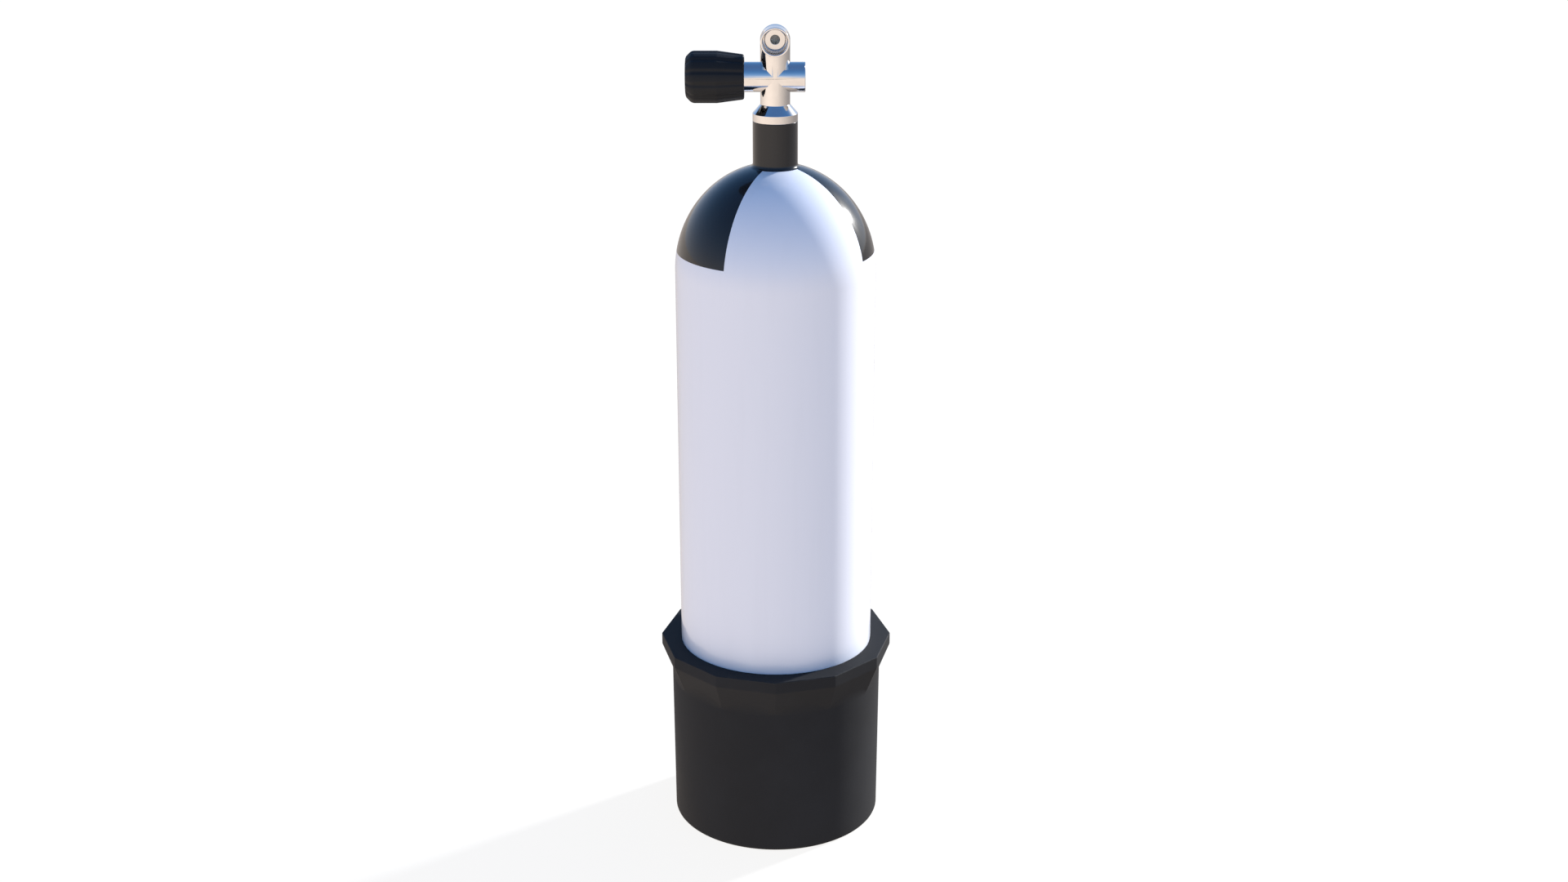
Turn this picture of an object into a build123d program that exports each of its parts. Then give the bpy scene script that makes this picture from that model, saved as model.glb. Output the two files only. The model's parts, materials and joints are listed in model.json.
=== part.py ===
"""A steel scuba tank in its rubber boot, with a DIN pillar valve and a rubber-covered knob.

Millimetres. +Z is up the tank, the origin is at the middle of the boot's flat foot, the outlet
faces -Y and the knob is on the -X arm.
"""

from build123d import *

import math
import os

os.makedirs("parts", exist_ok=True)

# Steel cylinder: a spun shell with a round base, a domed shoulder and a threaded neck.
BARREL_R = 85.5
WALL = 4.5
BASE_Z = 8.0
BASE_DOME = 68.0
SHOULDER_Z = 512.0
SHOULDER_DOME = 91.0
CROWN_THICKNESS = 6.5
NECK_R = 18.9
NECK_BORE_R = 12.5
NECK_TOP_Z = 639.0
NECK_FILLET = 4.0
GLAND_R = 15.3
GLAND_DEPTH = 2.4

# Cutting and joining solids run this far past the face they meet.
OVERLAP = 1.0

# Boot: a moulded cup with a twelve-sided rim, ribs inside and a webbed foot.
BOOT_FOOT_R = 93.0
BOOT_RIM_BODY_R = 94.1
BOOT_TOP_Z = 171.0
BOOT_WALL = 5.5
BOOT_SIDES = 12
RIM_CORNER_R = 103.5
RIM_WALL_Z = 160.5
RIM_TAPER_Z = 136.0
RIM_TAPER_SINK = 0.3
RIM_LIP_Z = 148.0
LIP_CLEARANCE = 0.1
RIB_CLEARANCE = 0.15
RIB_THICKNESS = 4.0
BOWL_DROP = 3.0
BOWL_THICKNESS = 5.0
FOOT_RING_R = 78.0
FOOT_HUB_R = 14.0
FOOT_WEB = 4.0
FOOT_FILLET = 2.5
DRAIN_R = 4.5
DRAIN_CIRCLE_R = 48.0
DRAINS = 6

# Valve body: an inlet shank in the neck, a collar, a post, a cross arm and the outlet.
FIT_GAP = 0.05
SHANK_LENGTH = 28.0
INLET_BORE_R = 3.0
COLLAR_R = 18.9
COLLAR_TOP_Z = 645.5
CONE_TOP_Z = 652.9
POST_R = 12.4
ARM_Z = 675.3
ARM_R = 12.4
ARM_PLUG_X = 25.0
ARM_KNOB_X = -30.0
OUTLET_Z = 706.2
OUTLET_R = 12.1
OUTLET_FACE_Y = -18.2
SOCKET_R = 10.3
SOCKET_LAND_Y = -2.4
SOCKET_LAND_R = 8.9
RELIEF_R = 10.8
RELIEF_DEPTH = 1.0
OUTLET_HOLE_R = 3.9
OUTLET_HOLE_END_Y = 6.0
EDGE_BREAK = 0.5

# Passages and bores inside the arm. Distances run along X from the post's axis.
SEAT_FACE_X = -6.0
NOZZLE_R = 3.0
NOZZLE_LIP = 0.8
ORIFICE_R = 2.0
CHAMBER_R = 6.5
CHAMBER_END_X = -10.5
SPINDLE_THREAD_R = 5.5
BONNET_FLOOR_X = -19.0
BONNET_BORE_R = 8.0
GALLERY_R = 1.9
GALLERY_START = Vector(-8.2, 1.0, ARM_Z + 4.0)
GALLERY_END = Vector(0.0, 3.0, OUTLET_Z - 1.0)

# Seat and lower spindle: they screw back from the nozzle to open the valve.
SEAT_R = 3.6
SEAT_THICKNESS = 2.4
SEAT_GAP = 0.03
SEAT_PROUD = 0.5
LOWER_SPINDLE_END_X = -16.3
TANG_SOCKET_X = -11.0
TANG_SOCKET_WIDTH = 5.2
TANG_WIDTH = 5.0
TANG_TIP_X = -13.8

# Upper spindle: held between two washers by the bonnet nut, square where the knob sits.
SPINDLE_R = 4.0
FLANGE_R = 6.8
FLANGE_THICKNESS = 2.0
WASHER_THICKNESS = 0.6
WASHER_R = 7.6
WASHER_BORE_R = 5.6
SQUARE_WIDTH = 5.6
SQUARE_START_X = -44.0
SQUARE_END_X = -56.0
STUD_R = 2.5
STUD_END_X = -70.5
BONNET_HEX = 21.0
BONNET_HEX_THICKNESS = 6.0
BONNET_CORNER_R = 11.55
BONNET_SEAL_STEP = 2.0
SPINDLE_SEAL_STEPS = (3.0, 6.5)
O_RING_WIRE_R = 0.66

# Knob: a moulded hub on the square, a rubber grip over it, a spring, a cup washer and a nut.
KNOB_INNER_X = -25.6
KNOB_OUTER_X = -74.2
KNOB_R = 21.4
KNOB_INNER_R = 18.4
KNOB_TAPER_X = -48.0
KNOB_CHAMFER = 5.2
KNOB_LOBES = 12
KNOB_LOBE_ANGLE = 6.0
FLUTE_R = 3.2
FLUTE_DEPTH = 0.9
HUB_R = 16.0
HUB_INNER_X = -28.0
HUB_OUTER_X = -72.0
HUB_CAVITY_R = 13.4
WEB_OUTER_X = -54.0
RECESS_R = 10.0
SQUARE_HOLE_WIDTH = 5.8
SPRING_END_X = -64.0
SPRING_MEAN_R = 5.6
SPRING_WIRE_R = 0.6
SPRING_TURNS = 4.5
CUP_R = 8.2
CUP_THICKNESS = 1.2
CUP_WALL = 0.8
CUP_RIM = 2.0
NUT_HEX = 8.0
NUT_THICKNESS = 4.0

# Blanking plug in the other end of the arm, and the dip tube below the inlet.
PLUG_R = 8.0
PLUG_LENGTH = 13.0
PLUG_FLANGE_R = 10.0
PLUG_FLANGE = 2.5
PLUG_HEX = 8.0
PLUG_HEX_DEPTH = 5.0
PLUG_SEAL_STEP = 2.0
PLUG_BORE_SPARE = 1.0
DIP_TUBE_R = 3.5
DIP_TUBE_BORE_R = 2.2
DIP_TUBE_LENGTH = 58.0
DIP_TUBE_GRIP = 8.0
DIP_HOLE_R = 1.0
DIP_HOLE_RISE = 4.0


def rod_x(radius, start, end):
    """A cylinder along the arm's axis, from one X to another."""
    return Pos((start + end) / 2, 0, ARM_Z) * Rot(0, 90, 0) * Cylinder(radius, abs(end - start))


def rod_z(radius, bottom, top):
    """A cylinder up the tank's axis."""
    return Pos(0, 0, (bottom + top) / 2) * Cylinder(radius, top - bottom)


def rod_y(radius, start, end, height):
    """A cylinder along Y at a height above the foot."""
    return Pos(0, (start + end) / 2, height) * Rot(90, 0, 0) * Cylinder(radius, abs(end - start))


def square_x(width, start, end):
    """A square bar along the arm's axis."""
    return Pos((start + end) / 2, 0, ARM_Z) * Box(abs(end - start), width, width)


def hex_x(across_flats, start, end):
    """A hexagonal bar along the arm's axis."""
    outline = Plane.YZ * RegularPolygon(across_flats / 2, 6, major_radius=False)
    return Pos(min(start, end), 0, ARM_Z) * extrude(outline, abs(end - start))


def ring_x(middle, ring_radius):
    """An O-ring round the arm's axis."""
    return Pos(middle, 0, ARM_Z) * Rot(0, 90, 0) * Torus(ring_radius, O_RING_WIRE_R)


def turned_z(outline):
    """A solid turned round Z from edges drawn as (radius, height)."""
    return revolve(Plane.XZ * make_face(outline), Axis.Z)


def oval_arc(height, across, up, start, turn):
    """Part of an oval centred on the tank's axis, as an exact rational curve in (radius, height).

    Its middle control point is where the two end tangents cross.
    """
    half = math.radians(turn) / 2
    middle = math.radians(start) + half

    def on_oval(angle, reach):
        return across * reach * math.cos(angle), height + up * reach * math.sin(angle)

    corner = on_oval(middle, 1 / math.cos(half))
    ends = on_oval(middle - half, 1), on_oval(middle + half, 1)
    return Bezier(ends[0], corner, ends[1], weights=[1, math.cos(half), 1])


def domed(radius, bottom, base_rise, shoulder, crown_rise):
    """The solid of a round-based, dome-topped tank with no neck."""
    base_edge = bottom + base_rise
    top = shoulder + crown_rise
    outline = (
        oval_arc(base_edge, radius, base_rise, 270, 90)
        + Line((radius, base_edge), (radius, shoulder))
        + oval_arc(shoulder, radius, crown_rise, 0, 90)
        + Line((0, top), (0, bottom))
    )
    return turned_z(outline)


def polygon_prism(corner_radius, bottom, top):
    """A twelve-sided prism with a corner on the X axis."""
    outline = RegularPolygon(corner_radius, BOOT_SIDES)
    return Pos(0, 0, bottom) * extrude(outline, top - bottom)


def neck_blend():
    """How far round the dome the neck's blend begins, in degrees, and the height of its centre."""
    low, high = 60.0, 89.0
    for _ in range(40):
        angle = (low + high) / 2
        across, up = math.cos(math.radians(angle)), math.sin(math.radians(angle))
        normal = Vector(across / BARREL_R, up / SHOULDER_DOME).normalized()
        if BARREL_R * across + NECK_FILLET * normal.X > NECK_R + NECK_FILLET:
            low = angle
        else:
            high = angle
    return angle, SHOULDER_Z + SHOULDER_DOME * up + NECK_FILLET * normal.Y


def cylinder_shell():
    blend_angle, blend_z = neck_blend()
    bottom = oval_arc(BASE_Z + BASE_DOME, BARREL_R, BASE_DOME, 270, 90)
    dome = oval_arc(SHOULDER_Z, BARREL_R, SHOULDER_DOME, 0, blend_angle)
    blend = TangentArc(dome @ 1, (NECK_R, blend_z), tangent=dome % 1)
    inner_r = BARREL_R - WALL
    inner_crown = SHOULDER_DOME - CROWN_THICKNESS
    mouth_angle = math.degrees(math.acos(NECK_BORE_R / inner_r))
    crown = oval_arc(SHOULDER_Z, inner_r, inner_crown, 0, mouth_angle)
    floor = oval_arc(BASE_Z + BASE_DOME, inner_r, BASE_DOME - WALL, 270, 90)
    neck = Polyline(
        blend @ 1,
        (NECK_R, NECK_TOP_Z),
        (GLAND_R, NECK_TOP_Z),
        (GLAND_R, NECK_TOP_Z - GLAND_DEPTH),
        (NECK_BORE_R, NECK_TOP_Z - GLAND_DEPTH),
        crown @ 1,
    )
    walls = [
        Line(bottom @ 1, dome @ 0),
        Line(crown @ 0, floor @ 1),
        Line(floor @ 0, bottom @ 0),
    ]
    return turned_z([bottom, dome, blend, *neck.edges(), crown, floor, *walls])


def rib(angle, thickness, inner, outer, top):
    """One upright rib, or web, that stands on the foot's plane and points outwards."""
    plate = Box(outer - inner, thickness, top, align=(Align.MIN, Align.CENTER, Align.MIN))
    return Rot(0, 0, angle) * Pos(inner, 0, 0) * plate


def tank_boot():
    body = Cone(
        BOOT_FOOT_R, BOOT_RIM_BODY_R, BOOT_TOP_Z, align=(Align.CENTER, Align.CENTER, Align.MIN)
    )
    body = fillet(body.edges().sort_by(Axis.Z)[0], FOOT_FILLET)
    rim = polygon_prism(RIM_CORNER_R, RIM_WALL_Z, BOOT_TOP_Z)
    taper_foot_r = BOOT_RIM_BODY_R - RIM_TAPER_SINK
    taper_foot = Pos(0, 0, RIM_TAPER_Z) * RegularPolygon(taper_foot_r, BOOT_SIDES)
    taper_head = Pos(0, 0, RIM_WALL_Z) * RegularPolygon(RIM_CORNER_R, BOOT_SIDES)
    boot = body + rim + loft([taper_foot, taper_head])

    # The cup is wider than the tank below the lip, and ribs bridge the gap.
    cup_r = BOOT_FOOT_R - BOOT_WALL
    base_edge = BASE_Z + BASE_DOME
    lip_start = RIM_LIP_Z - OVERLAP
    cup = domed(cup_r, BASE_Z - BOWL_DROP, BASE_DOME + BOWL_DROP, lip_start, OVERLAP)
    cup += rod_z(cup_r, base_edge, RIM_LIP_Z)
    ribs = Part()
    for i in range(BOOT_SIDES):
        angle = (i + 0.5) * 360 / BOOT_SIDES
        ribs += rib(angle, RIB_THICKNESS, FOOT_HUB_R, cup_r + OVERLAP, RIM_LIP_Z)
    boot = boot - (cup - ribs)
    boot -= rod_z(BARREL_R + LIP_CLEARANCE, base_edge, BOOT_TOP_Z)
    boot -= domed(
        BARREL_R + RIB_CLEARANCE,
        BASE_Z - RIB_CLEARANCE,
        BASE_DOME + RIB_CLEARANCE,
        lip_start,
        OVERLAP,
    )

    # Under the bowl the foot is hollow, with webs from the hub to the foot ring.
    drop = BOWL_DROP + BOWL_THICKNESS
    under_bowl = domed(cup_r, BASE_Z - drop, BASE_DOME + drop, lip_start, OVERLAP)
    hollow = rod_z(FOOT_RING_R, 0, base_edge) - rod_z(FOOT_HUB_R, 0, base_edge) - under_bowl
    for i in range(BOOT_SIDES):
        hollow -= rib(i * 360 / BOOT_SIDES, FOOT_WEB, 0, FOOT_RING_R + OVERLAP, base_edge)
    boot -= hollow
    drains = PolarLocations(DRAIN_CIRCLE_R, DRAINS, start_angle=360 / BOOT_SIDES * 1.5)
    boot -= [place * Cylinder(DRAIN_R, 2 * base_edge) for place in drains]
    boot -= rod_z(DRAIN_R, 0, base_edge)
    return boot


def valve_body():
    shank_bottom = NECK_TOP_Z - SHANK_LENGTH
    profile = (
        Line((0, shank_bottom), (NECK_BORE_R - FIT_GAP, shank_bottom))
        + Line((NECK_BORE_R - FIT_GAP, shank_bottom), (NECK_BORE_R - FIT_GAP, NECK_TOP_Z))
        + Line((NECK_BORE_R - FIT_GAP, NECK_TOP_Z), (COLLAR_R, NECK_TOP_Z))
        + Line((COLLAR_R, NECK_TOP_Z), (COLLAR_R, COLLAR_TOP_Z))
        + Line((COLLAR_R, COLLAR_TOP_Z), (POST_R, CONE_TOP_Z))
        + Line((POST_R, CONE_TOP_Z), (POST_R, OUTLET_Z))
        + CenterArc((0, OUTLET_Z), POST_R, 0, 90)
        + Line((0, OUTLET_Z + POST_R), (0, shank_bottom))
    )
    body = turned_z(profile)
    body += rod_x(ARM_R, ARM_KNOB_X, ARM_PLUG_X)
    barrel = rod_y(OUTLET_R, OUTLET_FACE_Y, 0, OUTLET_Z)
    body += chamfer(barrel.edges().sort_by(Axis.Y)[0], EDGE_BREAK)

    # Outlet socket: a thread relief runs round the land that the regulator's seal sits on.
    body -= rod_y(SOCKET_R, OUTLET_FACE_Y, SOCKET_LAND_Y, OUTLET_Z)
    relief_end = SOCKET_LAND_Y + RELIEF_DEPTH
    body -= rod_y(RELIEF_R, SOCKET_LAND_Y, relief_end, OUTLET_Z) - rod_y(
        SOCKET_LAND_R, SOCKET_LAND_Y, relief_end, OUTLET_Z
    )
    body -= rod_y(OUTLET_HOLE_R, OUTLET_FACE_Y, OUTLET_HOLE_END_Y, OUTLET_Z)

    # Gas comes up the shank, through the nozzle, past the seat and up a slanted gallery.
    body -= rod_z(INLET_BORE_R, shank_bottom, ARM_Z)
    body -= rod_z(DIP_TUBE_R + FIT_GAP, shank_bottom, shank_bottom + DIP_TUBE_GRIP)
    body -= rod_x(ORIFICE_R, SEAT_FACE_X - NOZZLE_LIP, 0)
    chamber = rod_x(CHAMBER_R, CHAMBER_END_X, SEAT_FACE_X)
    chamber -= rod_x(NOZZLE_R, SEAT_FACE_X - NOZZLE_LIP, SEAT_FACE_X)
    body -= chamber
    slant = GALLERY_END - GALLERY_START
    gallery = Cylinder(GALLERY_R, slant.length, align=(Align.CENTER, Align.CENTER, Align.MIN))
    body -= Plane(GALLERY_START, z_dir=slant) * gallery

    # Bores for the spindles and the bonnet nut in one arm, and the plug in the other.
    body -= rod_x(SPINDLE_THREAD_R + FIT_GAP, BONNET_FLOOR_X, CHAMBER_END_X)
    body -= rod_x(BONNET_BORE_R, ARM_KNOB_X, BONNET_FLOOR_X)
    plug_bore_end = ARM_PLUG_X - PLUG_LENGTH - PLUG_BORE_SPARE
    body -= rod_x(PLUG_R + FIT_GAP, plug_bore_end, ARM_PLUG_X)
    body -= rod_x(PLUG_FLANGE_R + FIT_GAP, ARM_PLUG_X - PLUG_FLANGE, ARM_PLUG_X)
    body -= rod_x(INLET_BORE_R, 0, ARM_PLUG_X - PLUG_LENGTH)
    return body


def neck_o_ring():
    middle_r = (GLAND_R + NECK_BORE_R) / 2
    wire_r = GLAND_DEPTH / 2 - FIT_GAP
    return Pos(0, 0, NECK_TOP_Z - GLAND_DEPTH / 2) * Torus(middle_r, wire_r)


def dip_tube():
    top = NECK_TOP_Z - SHANK_LENGTH + DIP_TUBE_GRIP - FIT_GAP
    bottom = top - DIP_TUBE_LENGTH
    tube = rod_z(DIP_TUBE_R, bottom, top) - rod_z(DIP_TUBE_BORE_R, bottom, top)
    reach = DIP_TUBE_R + OVERLAP
    return tube - rod_y(DIP_HOLE_R, -reach, reach, bottom + DIP_HOLE_RISE)


def valve_seat():
    front = SEAT_FACE_X - NOZZLE_LIP - SEAT_GAP
    return rod_x(SEAT_R, front - SEAT_THICKNESS, front)


def lower_spindle():
    nose = SEAT_FACE_X - NOZZLE_LIP - SEAT_GAP - SEAT_PROUD
    pocket = SEAT_FACE_X - NOZZLE_LIP - SEAT_GAP - SEAT_THICKNESS - FIT_GAP
    spindle = rod_x(SPINDLE_THREAD_R, LOWER_SPINDLE_END_X, nose)
    spindle -= rod_x(SEAT_R + FIT_GAP, pocket, nose)
    spindle -= square_x(TANG_SOCKET_WIDTH, LOWER_SPINDLE_END_X, TANG_SOCKET_X)
    return spindle


def flange_start():
    """Where the upper spindle's flange begins, behind the inner washer."""
    return BONNET_FLOOR_X - WASHER_THICKNESS


def bonnet_start():
    """The bonnet nut's inner face, behind the flange and the outer washer."""
    return flange_start() - FLANGE_THICKNESS - WASHER_THICKNESS - FIT_GAP


def thrust_washer(start):
    """A flat plastic washer that the spindle's flange turns against."""
    end = start - WASHER_THICKNESS + FIT_GAP / 2
    return rod_x(WASHER_R, end, start) - rod_x(WASHER_BORE_R, end, start)


def spindle_seal_places():
    """The two grooves where the spindle is sealed inside the bonnet nut."""
    return [bonnet_start() - step for step in SPINDLE_SEAL_STEPS]


def upper_spindle():
    start = flange_start()
    spindle = rod_x(FLANGE_R, start - FLANGE_THICKNESS, start - FIT_GAP / 2)
    spindle += square_x(TANG_WIDTH, start - FLANGE_THICKNESS, TANG_TIP_X)
    spindle += rod_x(SPINDLE_R, SQUARE_START_X, start - FLANGE_THICKNESS)
    spindle += square_x(SQUARE_WIDTH, SQUARE_END_X, SQUARE_START_X)
    spindle += rod_x(STUD_R, STUD_END_X, SQUARE_END_X)
    for middle in spindle_seal_places():
        half = O_RING_WIRE_R + FIT_GAP
        groove = rod_x(SPINDLE_R + OVERLAP, middle - half, middle + half)
        groove -= rod_x(SPINDLE_R - 2 * O_RING_WIRE_R - FIT_GAP, middle - half, middle + half)
        spindle -= groove
    return spindle


def spindle_o_rings():
    rings = [ring_x(middle, SPINDLE_R - O_RING_WIRE_R) for middle in spindle_seal_places()]
    return Compound(children=rings)


def bonnet_nut():
    hex_start = ARM_KNOB_X - FIT_GAP
    hex_end = hex_start - BONNET_HEX_THICKNESS
    nut = rod_x(BONNET_BORE_R - FIT_GAP, hex_start, bonnet_start())
    head = hex_x(BONNET_HEX, hex_end, hex_start)
    head &= rod_x(BONNET_CORNER_R, hex_end, hex_start)
    nut += head
    nut -= rod_x(SPINDLE_R + FIT_GAP, hex_end, bonnet_start())
    seal_x = bonnet_seal_x()
    half = O_RING_WIRE_R + FIT_GAP
    groove = rod_x(BONNET_BORE_R + OVERLAP, seal_x - half, seal_x + half)
    groove -= rod_x(BONNET_BORE_R - 2 * O_RING_WIRE_R - 2 * FIT_GAP, seal_x - half, seal_x + half)
    return nut - groove


def bonnet_seal_x():
    return ARM_KNOB_X + BONNET_SEAL_STEP


def bonnet_seal():
    return ring_x(bonnet_seal_x(), BONNET_BORE_R - O_RING_WIRE_R - FIT_GAP)


def knob_hub():
    hub = rod_x(HUB_R, HUB_OUTER_X, HUB_INNER_X)
    hub -= rod_x(HUB_CAVITY_R, SQUARE_START_X, HUB_INNER_X)
    hub -= rod_x(RECESS_R, HUB_OUTER_X, WEB_OUTER_X)
    hub -= square_x(SQUARE_HOLE_WIDTH, WEB_OUTER_X, SQUARE_START_X)
    return hub


def knob_grip():
    outline = Polyline(
        (KNOB_INNER_X, 0),
        (KNOB_INNER_X, KNOB_INNER_R),
        (KNOB_TAPER_X, KNOB_R),
        (KNOB_OUTER_X + KNOB_CHAMFER, KNOB_R),
        (KNOB_OUTER_X, KNOB_R - KNOB_CHAMFER),
        (KNOB_OUTER_X, 0),
        close=True,
    )
    grip = revolve(make_face(outline), Axis.X)
    flute_length = KNOB_INNER_X - KNOB_OUTER_X
    taper = math.atan2(KNOB_R - KNOB_INNER_R, KNOB_INNER_X - KNOB_TAPER_X)
    straight = Pos(KNOB_OUTER_X, 0, 0) * Rot(0, 90, 0) * Cylinder(
        FLUTE_R, flute_length, align=(Align.CENTER, Align.CENTER, Align.MIN)
    )
    slanted = Rot(0, math.degrees(taper), 0) * Rot(0, 90, 0) * Cylinder(FLUTE_R, flute_length)
    for i in range(KNOB_LOBES):
        turn = Rot(90 - KNOB_LOBE_ANGLE + (i + 0.5) * 360 / KNOB_LOBES, 0, 0)
        lift = KNOB_R + FLUTE_R - FLUTE_DEPTH
        grip -= turn * Pos(0, 0, lift) * straight
        grip -= turn * Pos(KNOB_TAPER_X, 0, lift) * slanted
    grip = Pos(0, 0, ARM_Z) * grip
    grip -= rod_x(HUB_R, HUB_OUTER_X, HUB_INNER_X)
    grip -= rod_x(HUB_CAVITY_R, HUB_INNER_X, KNOB_INNER_X)
    grip -= rod_x(RECESS_R, KNOB_OUTER_X, HUB_OUTER_X)
    return grip


def knob_spring():
    length = WEB_OUTER_X - SPRING_END_X - 2 * SPRING_WIRE_R - 2 * FIT_GAP
    path = Helix(length / SPRING_TURNS, length, SPRING_MEAN_R)
    wire = Plane(path @ 0, z_dir=path % 0) * Circle(SPRING_WIRE_R)
    coil = sweep(wire, path, is_frenet=True)
    return Pos(SPRING_END_X + SPRING_WIRE_R + FIT_GAP, 0, ARM_Z) * Rot(0, 90, 0) * coil


def knob_cup_washer():
    end = SPRING_END_X - CUP_THICKNESS
    rim_start = SPRING_END_X + CUP_RIM
    cup = rod_x(CUP_R, end, rim_start) - rod_x(CUP_R - CUP_WALL, SPRING_END_X, rim_start)
    return cup - rod_x(STUD_R + FIT_GAP, end, SPRING_END_X)


def knob_nut():
    start = SPRING_END_X - CUP_THICKNESS
    end = start - NUT_THICKNESS
    return hex_x(NUT_HEX, end, start) - rod_x(STUD_R + FIT_GAP, end, start)


def plug_seal_x():
    return ARM_PLUG_X - PLUG_FLANGE - PLUG_SEAL_STEP


def blanking_plug():
    plug = rod_x(PLUG_R, ARM_PLUG_X - PLUG_LENGTH, ARM_PLUG_X)
    plug += rod_x(PLUG_FLANGE_R, ARM_PLUG_X - PLUG_FLANGE, ARM_PLUG_X)
    plug -= hex_x(PLUG_HEX, ARM_PLUG_X - PLUG_HEX_DEPTH, ARM_PLUG_X)
    half = O_RING_WIRE_R + FIT_GAP
    middle = plug_seal_x()
    groove = rod_x(PLUG_R + OVERLAP, middle - half, middle + half)
    groove -= rod_x(PLUG_R - 2 * O_RING_WIRE_R - FIT_GAP, middle - half, middle + half)
    return plug - groove


def blanking_plug_o_ring():
    return ring_x(plug_seal_x(), PLUG_R - O_RING_WIRE_R)


nodes = {
    "cylinder_shell": cylinder_shell(),
    "tank_boot": tank_boot(),
    "valve_body": valve_body(),
    "neck_o_ring": neck_o_ring(),
    "dip_tube": dip_tube(),
    "valve_seat": valve_seat(),
    "lower_spindle": lower_spindle(),
    "inner_thrust_washer": thrust_washer(BONNET_FLOOR_X),
    "outer_thrust_washer": thrust_washer(flange_start() - FLANGE_THICKNESS),
    "upper_spindle": upper_spindle(),
    "spindle_o_rings": spindle_o_rings(),
    "bonnet_nut": bonnet_nut(),
    "bonnet_seal": bonnet_seal(),
    "knob_hub": knob_hub(),
    "knob_grip": knob_grip(),
    "knob_spring": knob_spring(),
    "knob_cup_washer": knob_cup_washer(),
    "knob_nut": knob_nut(),
    "blanking_plug": blanking_plug(),
    "blanking_plug_o_ring": blanking_plug_o_ring(),
}

for name, shape in nodes.items():
    export_step(shape, f"parts/{name}.step")
    print(name, round(shape.volume), "mm3")
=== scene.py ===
# %% [markdown]
# # A scuba tank built round its imported frame
# The frame holds every part of the tank where the design puts it, in metres: a steel cylinder
# in a rubber boot, a chromed pillar valve and a rubber knob that screws the valve open. This
# lesson keeps the small hidden parts as they are and models new skins for what the eye sees.
# Everything is built in the frame's own coordinates, so nothing has to be fitted afterwards.

import json
import math

import bpy
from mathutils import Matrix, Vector


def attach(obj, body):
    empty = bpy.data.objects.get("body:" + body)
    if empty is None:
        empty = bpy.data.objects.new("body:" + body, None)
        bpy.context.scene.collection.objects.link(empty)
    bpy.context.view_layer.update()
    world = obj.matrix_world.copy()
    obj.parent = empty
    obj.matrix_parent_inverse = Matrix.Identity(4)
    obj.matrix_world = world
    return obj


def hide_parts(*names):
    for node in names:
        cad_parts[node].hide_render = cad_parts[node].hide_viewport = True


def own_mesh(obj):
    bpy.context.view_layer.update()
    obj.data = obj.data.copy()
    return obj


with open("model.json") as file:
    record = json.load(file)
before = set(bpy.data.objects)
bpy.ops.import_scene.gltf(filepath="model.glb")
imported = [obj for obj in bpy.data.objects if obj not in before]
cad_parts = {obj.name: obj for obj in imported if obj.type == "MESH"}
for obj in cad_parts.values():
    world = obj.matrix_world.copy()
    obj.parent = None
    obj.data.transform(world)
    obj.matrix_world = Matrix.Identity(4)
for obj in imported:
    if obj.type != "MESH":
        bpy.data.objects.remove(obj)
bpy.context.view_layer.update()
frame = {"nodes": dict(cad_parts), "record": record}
nodes = frame["nodes"]
MM = 0.001

# %% [markdown]
# ## Camera
# The tank stands on the floor and the camera looks down on it from a little above its valve,
# which makes the boot look large and the valve small. A long lens would flatten that, so the
# distance matters as much as the angle. Nothing is shifted and nothing is out of focus.

# %% Camera
CAMERA_PLACE = Vector((0.0073, -1.7151, 0.9695))
CAMERA_DOWN = 19.69
CAMERA_LENS = 47.62

bpy.ops.object.camera_add(
    location=CAMERA_PLACE, rotation=(math.radians(90 - CAMERA_DOWN), 0, 0)
)
camera = bpy.context.active_object
camera.data.lens = CAMERA_LENS
bpy.context.scene.camera = camera
bpy.context.scene.view_settings.view_transform = "Standard"
print("camera: lens", camera.data.lens, "height", round(camera.location.z, 3))

# %% [markdown]
# ## Helpers for turned pieces
# Most of a tank and its valve is turned on a lathe or spun, so most pieces start as one ring of
# edges. The ring is extruded up the axis and scaled at each step, as one would with E and S in
# the viewport. A spin tool would do the same from a side profile, but it leaves a seam that has
# to be merged; stepping a ring leaves none, and every step is a clean loop of quads.
#
# A corner of a profile is given as (radius, height, rounding). The helper swaps each rounded
# corner for a short arc with one guard point before it and one after it. The guards keep the
# soft shading of the arc from spreading over the long walls beside it.

# %% Helpers: selection, profiles and rings
GUARD = 0.35 * MM


def nothing_selected():
    """Object mode, with nothing selected."""
    if bpy.context.mode != "OBJECT":
        bpy.ops.object.mode_set(mode="OBJECT")
    bpy.ops.object.select_all(action="DESELECT")


def select_only(piece):
    """Object mode, with this piece as the only one selected."""
    nothing_selected()
    piece.select_set(True)
    bpy.context.view_layer.objects.active = piece


def in_metres(points):
    """Profile points in metres from plain (radius, height) pairs in millimetres."""
    return [Vector(point) * MM for point in points]


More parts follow.
